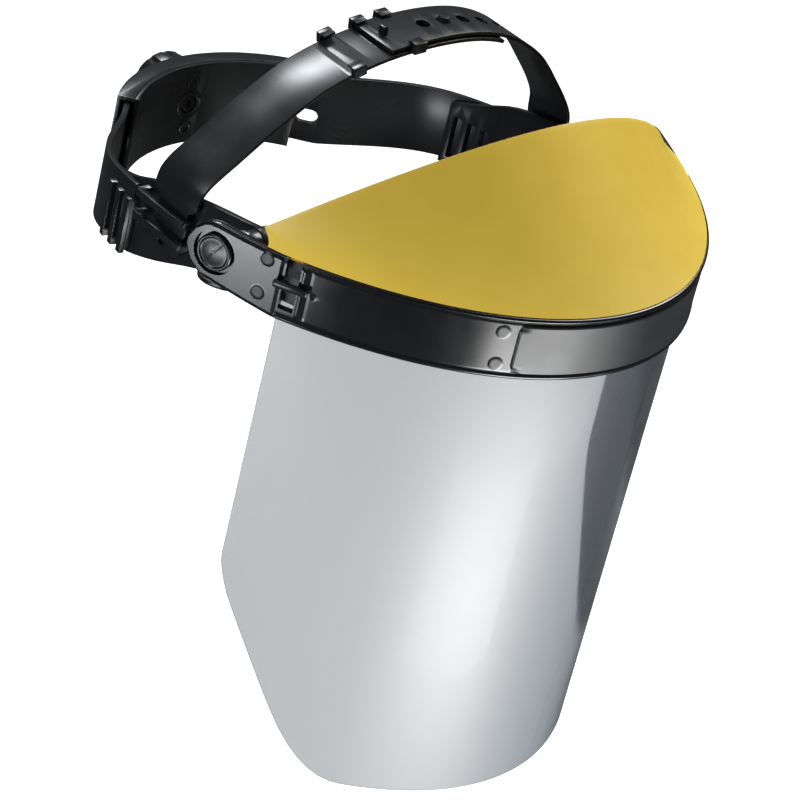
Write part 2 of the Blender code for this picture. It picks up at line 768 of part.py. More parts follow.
STRAP_RADIUS = (HOUSING_INNER_RADIUS + HOUSING_OUTER_RADIUS + REAR_STRAP_THICKNESS) / 2


def rear_strap_route():
    """The right strap's outer face, from inside the housing round to the headband's end."""
    arc = [(-STRAP_RADIUS * math.sin(a), REAR_CENTRE_Y + STRAP_RADIUS * math.cos(a))
           for a in spread(REAR_STRAP_END_ANGLE, HOUSING_HALF_ANGLE + 0.06, 10)]
    clear = REAR_STRAP_THICKNESS + FIT
    seat = []
    for d in spread(BAND.length * 0.001, 0.0200, 10):
        p = BAND.at(d, clear)
        seat.append((p.x, p.y))
    start, end = Vector(arc[-1]), Vector(seat[0])
    leave = (start - Vector(arc[-2])).normalized()
    arrive = (Vector(seat[1]) - end).normalized()
    pull = (end - start).length * 0.36
    curve = []
    for t in spread(0, 1, 16)[1:-1]:
        curve.append(start * (1 - t) ** 3 + (start + leave * pull) * 3 * t * (1 - t) ** 2
                     + (end - arrive * pull) * 3 * t * t * (1 - t) + end * t**3)
    return Route([*arc, *curve, *seat])


def make_rear_straps():
    route = rear_strap_route()
    stations = spread(0, route.length, 45)

    def place(i, j):
        p = route.at(stations[i])
        share = min(max((stations[i] / route.length - 0.2) / 0.8, 0), 1)
        low = REAR_STRAP_BOTTOM + share * (REAR_STRAP_FRONT_BOTTOM - REAR_STRAP_BOTTOM)
        high = REAR_STRAP_TOP + share * (REAR_STRAP_FRONT_TOP - REAR_STRAP_TOP)
        return Vector((p.x, p.y, (low, high)[j]))

    right = add("rear_strap_right", sheet(len(stations), 2, place), material("black_strap", BLACK, 0.34))
    thicken(right, REAR_STRAP_THICKNESS)
    for number in range(LADDER_BARS):
        d = route.length - 0.0020 - number * LADDER_SPACING
        way = route.direction(d)
        along, out = Vector((way.x, way.y, 0)), Vector((way.y, -way.x, 0))
        p = route.at(d)
        rise = RIB_RISE + 0.0004 * number
        join(right, tool(f"rib_{number}", block(
            Vector((p.x, p.y, RIB_Z)) + out * (rise - 0.0006) / 2,
            (RIB_WIDTH, rise + 0.0006, RIB_HEIGHT), (along, out, Vector((0, 0, 1))))))
    spot = route.at(OVAL_HOLE_DISTANCE)
    way = route.direction(OVAL_HOLE_DISTANCE)
    along, out, up = Vector((way.x, way.y, 0)), Vector((way.y, -way.x, 0)), Vector((0, 0, 1))
    middle = Vector((spot.x, spot.y, OVAL_HOLE_Z))
    for number, shift in enumerate((-OVAL_HOLE_REACH, OVAL_HOLE_REACH)):
        cut(right, tool(f"oval_hole_{number}", cylinder(
            middle + along * shift - out * 0.008, middle + along * shift + out * 0.008,
            OVAL_HOLE_RADIUS, 24)))
    cut(right, tool("oval_hole_middle", block(
        middle, (2 * OVAL_HOLE_REACH, 0.016, 2 * OVAL_HOLE_RADIUS), (along, out, up))))
    left = mirrored(right, "rear_strap_left")
    return [right, left]


def make_housing():
    look = material("black_housing", BLACK, 0.4)
    angles = spread(HOUSING_HALF_ANGLE, -HOUSING_HALF_ANGLE, 33)
    inner = HOUSING_INNER_RADIUS + HOUSING_WALL + FIT
    outline = ((inner, HOUSING_BOTTOM), (HOUSING_OUTER_RADIUS, HOUSING_BOTTOM),
               (HOUSING_OUTER_RADIUS, HOUSING_TOP), (inner, HOUSING_TOP))
    outer = add("housing_outer", sheet(len(angles), 4, lambda i, j: on_rear(
        angles[i], *outline[j])), look)
    thicken(outer, HOUSING_WALL)
    cut(outer, tool("shaft_hole", cylinder((0, 0.14, KNOB_Z), (0, 0.16, KNOB_Z),
                                           HUB_SHAFT_RADIUS + FIT, 32)))
    cover = add("housing_inner", sheet(len(angles), 2, lambda i, j: on_rear(
        angles[i], HOUSING_INNER_RADIUS + HOUSING_WALL, (HOUSING_BOTTOM, HOUSING_TOP)[j])), look)
    thicken(cover, HOUSING_WALL)
    cut(cover, tool("screw_hole", cylinder((0, 0.12, KNOB_Z), (0, 0.15, KNOB_Z),
                                           SCREW_HEAD_RADIUS + 2 * FIT, 32)))
    return [outer, cover]


def rear_y(radius):
    return REAR_CENTRE_Y + radius


def make_racks():
    """The toothed tongues: the right one runs above the pinion and the left one below."""
    middle = (HOUSING_INNER_RADIUS + HOUSING_OUTER_RADIUS) / 2
    pitch = 2 * math.pi * PINION_RADIUS / PINION_TEETH
    look = material("rack", BLACK, 0.4)
    made = []
    for side, sign in SIDES:
        level_sign = -sign
        near = KNOB_Z + level_sign * (PINION_RADIUS + TOOTH_DEPTH * 0.75)
        far = (REAR_STRAP_TOP - 0.001) if level_sign > 0 else (REAR_STRAP_BOTTOM + 0.001)
        low, high = sorted((near, far))
        a0, a1 = sorted(sign * a for a in RACK_REACH)
        angles = spread(a1, a0, 17)
        rack = add(f"rack_{side}", sheet(len(angles), 2, lambda i, j: on_rear(
            angles[i], middle + RACK_THICKNESS / 2, (low, high)[j])), look)
        thicken(rack, RACK_THICKNESS)
        count = int((a1 - a0) * middle / pitch)
        for k in range(-count, count + 1):
            # the teeth mesh with the pinion's, so they sit half a pitch off its own
            angle = (k + 0.5) * pitch / middle
            if not a0 + 0.02 < angle < a1 - 0.02:
                continue
            spot = on_rear(angle, middle, near - level_sign * TOOTH_DEPTH / 2)
            out = Vector((math.sin(angle), math.cos(angle), 0))
            along = Vector((math.cos(angle), -math.sin(angle), 0))
            join(rack, tool(f"tooth_{side}_{k}", block(
                spot, (pitch * 0.30, RACK_THICKNESS - 0.0002, TOOTH_DEPTH + 0.0004),
                (along, out, Vector((0, 0, 1))))))
        hang(rack, empty(f"rack_axis_{side}", (0, REAR_CENTRE_Y, KNOB_Z)))
        made.append(rack)
    return made


def make_knob():
    middle = rear_y((HOUSING_INNER_RADIUS + HOUSING_OUTER_RADIUS) / 2)
    outside = rear_y(HOUSING_OUTER_RADIUS)
    axis = empty("knob_axis", (0, outside, KNOB_Z))
    base = outside + 0.0010
    knob = add("adjuster_knob", cylinder((0, base, KNOB_Z), (0, base + KNOB_LENGTH, KNOB_Z),
                                         KNOB_RADIUS, 48), material("black_knob", BLACK, 0.4))
    soften(knob, 0.0012)
    for number in range(KNOB_GRIPS):
        angle = 2 * math.pi * number / KNOB_GRIPS
        spot = Vector((KNOB_RADIUS * 1.05 * math.sin(angle), 0, KNOB_RADIUS * 1.05 * math.cos(angle)))
        spot.z += KNOB_Z
        cut(knob, tool(f"grip_{number}", cylinder(
            spot + Vector((0, base + 0.0028, 0)), spot + Vector((0, base + 0.02, 0)), 0.0016, 12)))
    shaft_end = middle + RACK_THICKNESS / 2 + 2 * FIT
    join(knob, tool("shaft", cylinder((0, shaft_end, KNOB_Z), (0, base + 0.002, KNOB_Z),
                                      HUB_SHAFT_RADIUS, 32)))
    cut(knob, tool("shaft_bore", cylinder((0, shaft_end - 0.002, KNOB_Z),
                                          (0, base + 0.005, KNOB_Z), SCREW_RADIUS + FIT, 20)))

    front = middle - RACK_THICKNESS / 2
    root = PINION_RADIUS - TOOTH_DEPTH * 0.75
    pinion = add("pinion", cylinder((0, front, KNOB_Z), (0, front + RACK_THICKNESS, KNOB_Z), root, 40),
                 material("pinion", BLACK, 0.4))
    for number in range(PINION_TEETH):
        angle = 2 * math.pi * number / PINION_TEETH
        out = Vector((math.sin(angle), 0, math.cos(angle)))
        along = Vector((math.cos(angle), 0, -math.sin(angle)))
        spot = Vector((0, middle, KNOB_Z)) + out * (root + TOOTH_DEPTH / 2 - 0.0002)
        join(pinion, tool(f"pinion_tooth_{number}", block(
            spot, (0.0009, RACK_THICKNESS - 0.0002, TOOTH_DEPTH + 0.0004),
            (along, Vector((0, 1, 0)), out))))
    cut(pinion, tool("pinion_bore", cylinder((0, front - 0.002, KNOB_Z),
                                             (0, front + 0.006, KNOB_Z), SCREW_RADIUS + FIT, 20)))

    head = rear_y(HOUSING_INNER_RADIUS) + 0.0004
    screw = add("knob_screw", cylinder((0, head, KNOB_Z), (0, front - FIT, KNOB_Z),
                                       SCREW_HEAD_RADIUS, 28), material("screw", STEEL, 0.3, 1.0))
    join(screw, tool("screw_shank", cylinder((0, front - 0.001, KNOB_Z), (0, base + 0.0045, KNOB_Z),
                                             SCREW_RADIUS, 20)))
    cut(screw, tool("screw_drive", block(Vector((0, head, KNOB_Z)), (0.0008, 0.0012, 0.0044))))
    for obj in (knob, pinion, screw):
        hang(obj, axis)

    spring = add("detent_spring", cylinder((0, outside + 0.0002, KNOB_Z), (0, outside + 0.0007, KNOB_Z),
                                           KNOB_RADIUS - 0.0030, 36), material("spring", STEEL, 0.3, 1.0))
    cut(spring, tool("spring_bore", cylinder((0, outside - 0.002, KNOB_Z), (0, outside + 0.003, KNOB_Z),
                                             HUB_SHAFT_RADIUS + 2 * FIT, 32)))
    return [knob, pinion, screw, spring]


def main():
    global parts, cutters
    for obj in list(bpy.data.objects):
        bpy.data.objects.remove(obj, do_unlink=True)
    parts = bpy.data.collections.new("face_shield")
    cutters = bpy.data.collections.new("cutters")
    for home in (parts, cutters):
        bpy.context.scene.collection.children.link(home)

    tilt = empty("tilt_axis", (0, 0, 0))
    for obj in (make_frame(), make_window(), make_brow_guard(), *make_buttons()):
        hang(obj, tilt)
    for catch in make_catches():
        catch.parent.parent = tilt
    make_headband()
    make_sweatband()
    make_pivots()
    make_crown_straps()
    make_rear_straps()
    make_housing()
    make_racks()
    make_knob()


main()
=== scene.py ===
import math
from bisect import bisect_right

import bmesh
import bpy
from mathutils import Matrix, Vector


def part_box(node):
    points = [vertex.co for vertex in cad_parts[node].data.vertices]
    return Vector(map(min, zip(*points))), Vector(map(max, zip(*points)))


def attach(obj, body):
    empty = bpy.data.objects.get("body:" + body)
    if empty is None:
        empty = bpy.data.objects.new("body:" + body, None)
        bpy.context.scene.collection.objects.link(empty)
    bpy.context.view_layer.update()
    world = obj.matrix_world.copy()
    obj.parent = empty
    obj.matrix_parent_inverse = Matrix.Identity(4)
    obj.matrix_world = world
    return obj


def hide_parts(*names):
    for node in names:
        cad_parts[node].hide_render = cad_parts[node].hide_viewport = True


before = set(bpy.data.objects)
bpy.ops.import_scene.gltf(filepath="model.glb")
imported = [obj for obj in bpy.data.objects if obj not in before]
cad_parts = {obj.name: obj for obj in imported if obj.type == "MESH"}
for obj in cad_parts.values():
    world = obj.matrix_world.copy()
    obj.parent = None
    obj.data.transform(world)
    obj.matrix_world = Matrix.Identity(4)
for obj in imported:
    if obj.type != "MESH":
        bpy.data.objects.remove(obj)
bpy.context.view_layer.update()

# ---- sizes shared with the solid parts, in metres ----

FIT = 0.0003
SIDES = (("right", -1), ("left", 1))
UP = Vector((0, 0, 1))

PIVOT_HALF_WIDTH = 0.104
BAND_DEPTH = 0.095
BAND_OVAL = 0.181
BAND_TOP = 0.0092
BAND_BOTTOM = -0.0140
BAND_WALL = 0.0030
LUG_RADIUS = 0.0107
LUG_BLEND = 0.024
RECESS_RADIUS = 0.0079
RECESS_DEPTH = 0.0012
BUTTON_RADIUS = 0.0066
HUB_RADIUS = 0.0052
HUB_START = 0.0926
HUB_END = 0.1005
HUB_BORE = 0.0033
HUB_DEPTH = 0.0984
SLOT_FROM_PIVOT = 0.0287
SLOT_WIDTH = 0.0054
SLOT_HEIGHT = 0.0196
WINDOW_WALL = 0.0012

HEAD_HALF_WIDTH = 0.0865
HEAD_CENTRE_Y = 0.045
HEAD_FRONT = 0.117
HEAD_REAR = 0.097
HEAD_SHAPE = 2.4
HEAD_REAR_END = 0.0805
HEAD_WALL = 0.0022

REAR_CENTRE_Y = 0.0807
HOUSING_INNER_RADIUS = 0.0568
KNOB_Z = -0.0340


# ---- lines that the bands follow ----

class Route:
    """A flat line measured by its length, with offsets to its right-hand side."""

    def __init__(self, points):
        self.points = [Vector(p) for p in points]
        self.marks = [0.0]
        for a, b in zip(self.points, self.points[1:]):
            self.marks.append(self.marks[-1] + (b - a).length)
        self.length = self.marks[-1]

    def spot(self, distance):
        i = min(max(bisect_right(self.marks, distance) - 1, 0), len(self.points) - 2)
        return i, (distance - self.marks[i]) / (self.marks[i + 1] - self.marks[i])

    def direction(self, distance):
        i, share = self.spot(distance)
        here = self.points[i + 1] - self.points[i]
        if 0 < i < len(self.points) - 2:
            before = self.points[i + 1] - self.points[i - 1]
            after = self.points[i + 2] - self.points[i]
            here = before.normalized().lerp(after.normalized(), share)
        return here.normalized()

    def at(self, distance, right=0.0):
        i, share = self.spot(distance)
        way = self.direction(distance)
        return self.points[i].lerp(self.points[i + 1], share) + Vector((way.y, -way.x)) * right


def spread(low, high, count):
    return [low + (high - low) * k / (count - 1) for k in range(count)]


def band_route():
    centre_y = BAND_OVAL - BAND_DEPTH
    half = PIVOT_HALF_WIDTH / math.sin(math.acos(centre_y / BAND_OVAL))
    reach = math.radians(72)
    return Route([(half * math.sin(a), centre_y - BAND_OVAL * math.cos(a))
                  for a in spread(-reach, reach, 721)])


def head_route():
    reach = math.pi / 2 + math.asin((HEAD_REAR_END - HEAD_CENTRE_Y) / HEAD_REAR)
    points = []
    for a in spread(-reach, reach, 721):
        s, c = math.sin(a), math.cos(a)
        if c > 0:
            x = HEAD_HALF_WIDTH * math.copysign(abs(s) ** (2 / HEAD_SHAPE), s)
            y = HEAD_CENTRE_Y - HEAD_FRONT * c ** (2 / HEAD_SHAPE)
        else:
            x, y = HEAD_HALF_WIDTH * s, HEAD_CENTRE_Y - HEAD_REAR * c
        points.append((x, y))
    return Route(points)


BAND = band_route()
HEAD = head_route()
PIVOT_S = BAND.length / 2 - next(m for m, p in zip(BAND.marks, BAND.points) if p.y <= 0)


def on_band(s, inset, z):
    """A point on the visor's band, s along it from the front, inset from its outer face."""
    p = BAND.at(BAND.length / 2 + s, -inset)
    return Vector((p.x, p.y, z))


def band_axes(s):
    """Along, outward and up at s on the band."""
    way = BAND.direction(BAND.length / 2 + s)
    return Vector((way.x, way.y, 0)), Vector((way.y, -way.x, 0)), UP


# ---- mesh tools ----

def loft(columns, rows, point):
    """A grid whose vertex at column i and row j lies at point(i, j)."""
    bm = bmesh.new()
    bmesh.ops.create_grid(bm, x_segments=columns - 1, y_segments=rows - 1, size=1)
    bm.verts.ensure_lookup_table()
    for k, vert in enumerate(bm.verts):
        vert.co = point(k % columns, k // columns)
    return bm


def close_up(bm):
    """Joins a loft's seam, closes its ends and turns its faces outwards."""
    bmesh.ops.remove_doubles(bm, verts=bm.verts, dist=1e-6)
    bmesh.ops.holes_fill(bm, edges=[e for e in bm.edges if e.is_boundary], sides=0)
    bmesh.ops.recalc_face_normals(bm, faces=bm.faces)
    return bm


def rod(start, end, radius, segments=48):
    start, end = Vector(start), Vector(end)
    bm = bmesh.new()
    turn = (end - start).to_track_quat("Z", "Y").to_matrix().to_4x4()
    bmesh.ops.create_cone(bm, cap_ends=True, segments=segments, radius1=radius, radius2=radius,
                          depth=(end - start).length,
                          matrix=Matrix.Translation((start + end) / 2) @ turn)
    return bm


def block(centre, size, axes):
    bm = bmesh.new()
    turn = Matrix(axes).transposed().to_4x4()
    bmesh.ops.create_cube(bm, size=1, matrix=Matrix.Translation(centre) @ turn
                          @ Matrix.Diagonal((*size, 1)))
    bmesh.ops.recalc_face_normals(bm, faces=bm.faces)
    return bm


def turned(profile, centre, axis, steps=96):
    """A solid turned about an axis from a profile of radius and height."""
    bm = bmesh.new()
    verts = [bm.verts.new((r, 0, h)) for r, h in profile]
    edges = [bm.edges.new(pair) for pair in zip(verts, verts[1:])]
    bmesh.ops.spin(bm, geom=verts + edges, cent=(0, 0, 0), axis=(0, 0, 1),
                   angle=2 * math.pi, steps=steps, use_merge=True)
    bmesh.ops.remove_doubles(bm, verts=bm.verts, dist=1e-7)
    bmesh.ops.recalc_face_normals(bm, faces=bm.faces)
    turn = Vector(axis).to_track_quat("Z", "Y").to_matrix().to_4x4()
    bm.transform(Matrix.Translation(centre) @ turn)
    return bm


def round_edges(bm, width, segments=2, angle=38):
    sharp = [e for e in bm.edges
             if len(e.link_faces) == 2 and e.calc_face_angle(0) > math.radians(angle)]
    bmesh.ops.bevel(bm, geom=sharp, offset=width, segments=segments, profile=0.5,
                    affect="EDGES", clamp_overlap=True, material=-1)
    return bm


def piece(name, bm, look, body, slot, *nodes):
    """A finished piece that rides on a body and stands for its CAD nodes."""
    mesh = bpy.data.meshes.new(name)
    bm.to_mesh(mesh)
    bm.free()
    made = bpy.data.objects.new(name, mesh)
    bpy.context.scene.collection.objects.link(made)
    mesh.materials.append(look)
    mesh.shade_smooth()
    mesh.set_sharp_from_angle(angle=math.radians(40))
    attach(made, body)
    if nodes:
        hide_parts(*nodes)
    return made


def shape(bm, cuts=(), joins=()):
    """The mesh with others joined to it and cut from it."""
    made = loose(bm)
    others = []
    for operation, group in (("UNION", joins), ("DIFFERENCE", cuts)):
        for other in group:
            others.append(loose(other))
            step = made.modifiers.new(operation, "BOOLEAN")
            step.operation = operation
            step.solver = "EXACT"
            step.object = others[-1]
    bpy.context.view_layer.update()
    seen = made.evaluated_get(bpy.context.evaluated_depsgraph_get())
    result = bmesh.new()
    result.from_mesh(seen.to_mesh())
    seen.to_mesh_clear()
    for obj in (made, *others):
        bpy.data.objects.remove(obj, do_unlink=True)
    return result


def loose(bm):
    mesh = bpy.data.meshes.new("loose")
    bm.to_mesh(mesh)
    bm.free()
    made = bpy.data.objects.new("loose", mesh)
    bpy.context.scene.collection.objects.link(made)
    return made


def solid_copy(node):
    """A node's mesh, merged, with its flat faces whole again."""
    bm = bmesh.new()
    bm.from_mesh(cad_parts[node].data)
    bmesh.ops.remove_doubles(bm, verts=bm.verts, dist=1e-6)
    bmesh.ops.dissolve_limit(bm, angle_limit=math.radians(0.05), verts=bm.verts, edges=bm.edges)
    return bm


# ---- materials ----

def plain_shader(name):
    made = bpy.data.materials.new(name)
    made.use_nodes = True
    return made, made.node_tree, made.node_tree.nodes["Principled BSDF"]


def node(tree, kind):
    return tree.nodes.new(kind)


def object_noise(tree, scale, detail=3.0, stretch=(1, 1, 1)):
    coords = node(tree, "ShaderNodeTexCoord")
    mapping = node(tree, "ShaderNodeMapping")
    mapping.inputs["Scale"].default_value = stretch
    noise = node(tree, "ShaderNodeTexNoise")
    noise.inputs["Scale"].default_value = scale
    noise.inputs["Detail"].default_value = detail
    tree.links.new(coords.outputs["Object"], mapping.inputs["Vector"])
    tree.links.new(mapping.outputs["Vector"], noise.inputs["Vector"])
    return noise.outputs["Fac"]


def two_tone(tree, fac, low, high, start=0.35, end=0.65):
    ramp = node(tree, "ShaderNodeValToRGB")
    ramp.color_ramp.elements[0].position = start
    ramp.color_ramp.elements[1].position = end
    ramp.color_ramp.elements[0].color = (*low, 1)
    ramp.color_ramp.elements[1].color = (*high, 1)
    tree.links.new(fac, ramp.inputs["Fac"])
    return ramp.outputs["Color"]


def ranged(tree, fac, low, high):
    made = node(tree, "ShaderNodeMapRange")
    made.inputs["From Min"].default_value = 0.3
    made.inputs["From Max"].default_value = 0.7
    made.inputs["To Min"].default_value = low
    made.inputs["To Max"].default_value = high
    tree.links.new(fac, made.inputs["Value"])
    return made.outputs["Result"]


def bumped(tree, shader, height, strength, distance):
    made = node(tree, "ShaderNodeBump")
    made.inputs["Strength"].default_value = strength
    made.inputs["Distance"].default_value = distance
    tree.links.new(height, made.inputs["Height"])
    tree.links.new(made.outputs["Normal"], shader.inputs["Normal"])


def moulded(name, low, high, roughness, grain, specular=0.5):
    """Injection-moulded plastic: faint cloudy colour, uneven gloss and a fine grain."""
    made, tree, shader = plain_shader(name)
    cloud = object_noise(tree, 55, 4)
    tree.links.new(two_tone(tree, cloud, low, high), shader.inputs["Base Color"])
    tree.links.new(ranged(tree, object_noise(tree, 140, 5), *roughness),
                   shader.inputs["Roughness"])
    bumped(tree, shader, object_noise(tree, 1900, 3), grain, 0.0002)
    shader.inputs["Specular IOR Level"].default_value = specular
    return made


def clear_sheet(name):
    """Clear polycarbonate: smoky where it is seen edge on, with a faint ripple."""
    made, tree, shader = plain_shader(name)
    facing = node(tree, "ShaderNodeLayerWeight")
    facing.inputs["Blend"].default_value = 0.42
    tint = two_tone(tree, facing.outputs["Facing"], (0.30, 0.306, 0.31), (0.13, 0.155, 0.18),
                    0.12, 0.90)
    tree.links.new(tint, shader.inputs["Base Color"])
    tree.links.new(ranged(tree, object_noise(tree, 90, 4), 0.06, 0.10),
                   shader.inputs["Roughness"])
    bumped(tree, shader, object_noise(tree, 16, 2), 0.06, 0.0008)
    shader.inputs["Transmission Weight"].default_value = 1.0
    shader.inputs["Coat Weight"].default_value = 1.0
    shader.inputs["Coat Roughness"].default_value = 0.46
    shader.inputs["Specular IOR Level"].default_value = 0.0
    shader.inputs["IOR"].default_value = 1.06
    return made


def metal(name, low, high, stretch):
    made, tree, shader = plain_shader(name)
    brush = object_noise(tree, 700, 4, stretch)
    tree.links.new(two_tone(tree, brush, low, high), shader.inputs["Base Color"])
    tree.links.new(ranged(tree, brush, 0.24, 0.42), shader.inputs["Roughness"])
    bumped(tree, shader, brush, 0.08, 0.0001)
    shader.inputs["Metallic"].default_value = 1.0
    return made


def knit(name, low, high, pitch):
    """Brushed knit over foam: fine crossed ribs with a soft nap."""
    made, tree, shader = plain_shader(name)
    coords = node(tree, "ShaderNodeTexCoord")
    ribs = []
    for direction in ("Z", "DIAGONAL"):
        wave = node(tree, "ShaderNodeTexWave")
        wave.bands_direction = direction
        wave.inputs["Scale"].default_value = 1 / pitch
        wave.inputs["Distortion"].default_value = 0.6
        tree.links.new(coords.outputs["Object"], wave.inputs["Vector"])
        ribs.append(wave.outputs["Fac"])
    both = node(tree, "ShaderNodeMath")
    both.operation = "MULTIPLY"
    tree.links.new(ribs[0], both.inputs[0])
    tree.links.new(ribs[1], both.inputs[1])
    tree.links.new(two_tone(tree, object_noise(tree, 420, 5), low, high),
                   shader.inputs["Base Color"])
    bumped(tree, shader, both.outputs["Value"], 0.5, 0.0004)
    shader.inputs["Roughness"].default_value = 0.92
    shader.inputs["Sheen Weight"].default_value = 0.35
    return made


SATIN = moulded("satin_black", (0.0080, 0.0086, 0.0094), (0.0100, 0.0107, 0.0117),
                (0.27, 0.31), 0.02)
BAND_BLACK = moulded("band_black", (0.0050, 0.0055, 0.0062), (0.0064, 0.0070, 0.0078),
                     (0.20, 0.24), 0.02)
PANEL_BLACK = moulded("panel_black", (0.014, 0.015, 0.0165), (0.018, 0.0192, 0.021),
                      (0.38, 0.43), 0.04)
YELLOW = moulded("guard_yellow", (0.86, 0.60, 0.066), (0.90, 0.635, 0.076), (0.34, 0.38), 0.02)
CLEAR = clear_sheet("clear_window")
STEEL = metal("brushed_steel", (0.50, 0.51, 0.53), (0.64, 0.65, 0.67), (1, 1, 12))
BLACKED_STEEL = metal("blacked_steel", (0.035, 0.036, 0.040), (0.060, 0.062, 0.066), (1, 12, 1))
KNIT = knit("sweatband_knit", (0.020, 0.020, 0.022), (0.042, 0.042, 0.046), 0.0011)


# ---- visor ----

def lug_share(s):
    return min(max((abs(s) - PIVOT_S + LUG_BLEND) / LUG_BLEND, 0), 1)


def band_edges(s):
    """Bottom and top of the band at s."""
    past = abs(s) - PIVOT_S
    if past > 0:
        half = math.sqrt(max(LUG_RADIUS**2 - past**2, 0))
        return -half, half
    share = lug_share(s)
    return (BAND_BOTTOM + (-LUG_RADIUS - BAND_BOTTOM) * share,
            BAND_TOP + (LUG_RADIUS - BAND_TOP) * share)


def step_up(value, edge, width):
    """0 below an edge and 1 above it, with a smooth rise of the given width."""
    t = min(max((value - edge) / width + 0.5, 0), 1)
    return t * t * (3 - 2 * t)


def rounded_plate(s, z, half_length, low, high, corner):
    """How far a point lies inside a plate with rounded corners, below 0 outside."""
    middle, half = (low + high) / 2, (high - low) / 2
    dx = abs(s) - half_length + corner
    dz = abs(z - middle) - half + corner
    outside = math.hypot(max(dx, 0), max(dz, 0)) + min(max(dx, dz), 0)
    return corner - outside


PANEL = (0.0435, -0.0115, 0.0068, 0.0032)  # half length, bottom, top, corner radius
PIN_MARKS = ((0.0492, 0.0035, 0.0021), (0.0492, -0.0087, 0.0021),
             (0.1307, 0.0062, 0.0022), (0.1317, -0.0068, 0.0022))
LUG_PLATE_START = 0.1243
PANEL_RISE = 0.0008
MARK_RISE = 0.0002
TOP_LIP_RISE = 0.00035
BOTTOM_STEP_RISE = 0.0003
LUG_PLATE_RISE = 0.0004
RIB_S = 0.1170
RIB_RISE = 0.0003
GROOVE_S = 0.1148
GROOVE_DEPTH = 0.00018
DIMPLE = (0.1128, -0.0013, 0.0006)  # distance along the band, height, radius
DIMPLE_DEPTH = 0.0005
SLOT_S = PIVOT_S - SLOT_FROM_PIVOT


def relief(s, z, low, high):
    """Height of the band's outer surface over its plain face."""
    s = abs(s)
    height = PANEL_RISE * step_up(rounded_plate(s, z, *PANEL), 0, 0.0007)
    for mark_s, mark_z, radius in PIN_MARKS:
        away = math.hypot(s - mark_s, z - mark_z)
        if away < radius * 1.6:
            height += MARK_RISE * step_up(radius - away, 0, 0.0004)
    if s < LUG_PLATE_START:
        height += TOP_LIP_RISE * step_up(z, high - 0.0013, 0.0005)
        height -= 0.00018 * math.exp(-((z - high + 0.0018) / 0.0003) ** 2)
        height += BOTTOM_STEP_RISE * step_up(low + 0.0016 - z, 0, 0.0006)
        height -= 0.00015 * math.exp(-((z - low - 0.0021) / 0.0003) ** 2)
    else:
        edge = min(z - low, high - z, s - LUG_PLATE_START)
        height += LUG_PLATE_RISE * step_up(edge, 0.0010, 0.0005)
    inside = step_up(z, low + 0.0032, 0.001) * step_up(-z, -high + 0.0022, 0.001)
    height += RIB_RISE * inside * math.exp(-((s - RIB_S) / 0.0007) ** 4)
    height -= GROOVE_DEPTH * inside * math.exp(-((s - GROOVE_S) / 0.0004) ** 2)
    dimple_s, dimple_z, radius = DIMPLE
    away = (s - dimple_s) ** 2 + (z - dimple_z) ** 2
    height -= DIMPLE_DEPTH * math.exp(-(away / radius**2))
    return height


def band_stations():
    """Stations along half the band, closer together where it has detail."""
    marks = [0.0]
    while marks[-1] < PIVOT_S + LUG_RADIUS * 0.93:
        s = marks[-1]
        fine = 0.0415 < s < 0.0520 or 0.1110 < s < 0.1345
        marks.append(s + (0.00036 if fine else 0.0006 if s > 0.138 else 0.0018))
    turns = [PIVOT_S + LUG_RADIUS * math.sin(math.radians(a)) for a in (71, 75, 79, 83, 87)]
    marks = [m for m in marks if m < turns[0] - 0.0004] + turns
    return [-m for m in reversed(marks[1:])] + marks


def band_section(s, faces=60):
    """The band's section at s as inset and height, round its rounded edges and back."""
    low, high = band_edges(s)
    bend = min(0.0006, (high - low) * 0.3)
    outer = [(-relief(s, z, low, high), z) for z in spread(low + bend, high - bend, faces)]
    loop = list(outer)
    quarter = [math.radians(a) for a in (25, 50, 75)]
    loop += [(bend - bend * math.cos(a) - relief(s, high, low, high) * 0.6,
              high - bend + bend * math.sin(a)) for a in quarter]
    loop += [(BAND_WALL - bend + bend * math.cos(a), high - bend + bend * math.sin(a))
             for a in reversed(quarter)]
    loop += [(BAND_WALL, z) for z in spread(high - bend, low + bend, 6)]
    loop += [(BAND_WALL - bend + bend * math.cos(a), low + bend - bend * math.sin(a))
             for a in quarter]
    loop += [(bend - bend * math.cos(a) - relief(s, low, low, high) * 0.6,
              low + bend - bend * math.sin(a)) for a in reversed(quarter)]
    return loop + [outer[0]]


def band_place(point):
    """Distance along the band, height and depth under its plain face of a point on it."""
    flat = point.xy
    near = min(range(0, len(BAND.points), 6), key=lambda k: (BAND.points[k] - flat).length_squared)
    near = min(range(max(near - 6, 0), min(near + 7, len(BAND.points))),
               key=lambda k: (BAND.points[k] - flat).length_squared)
    mark = BAND.marks[near] + (flat - BAND.points[near]).dot(BAND.direction(BAND.marks[near]))
    out = band_axes(mark - BAND.length / 2)[1]
    return mark - BAND.length / 2, point.z, (BAND.at(mark) - flat).dot(out.xy)


